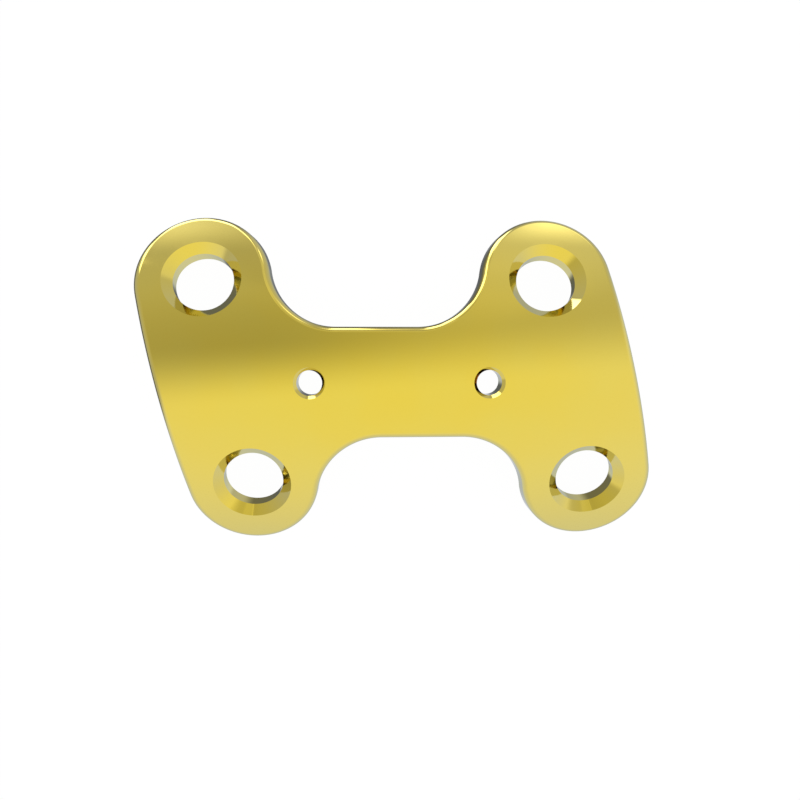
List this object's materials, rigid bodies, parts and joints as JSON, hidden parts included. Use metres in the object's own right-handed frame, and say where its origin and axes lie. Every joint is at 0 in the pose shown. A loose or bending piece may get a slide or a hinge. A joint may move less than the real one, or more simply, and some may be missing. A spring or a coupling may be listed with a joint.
{
  "type": "bone plate",
  "caption": "Curved one-piece bone plate with chamfered screw holes in rounded ears and small wire holes along a narrow waist.",
  "frame": {"origin": "on the ground under the middle of the plate, which lies on its four ears with the hollow side down", "axes": "+X along the plate, +Y across it, +Z away from the bone"},
  "size_m": [0.0352, 0.0224, 0.0046],
  "materials": {
    "anodised_titanium": "mirror polished, gold anodised titanium"
  },
  "bodies": {
    "root": {"bone_plate": "anodised_titanium"}
  },
  "joints": []
}
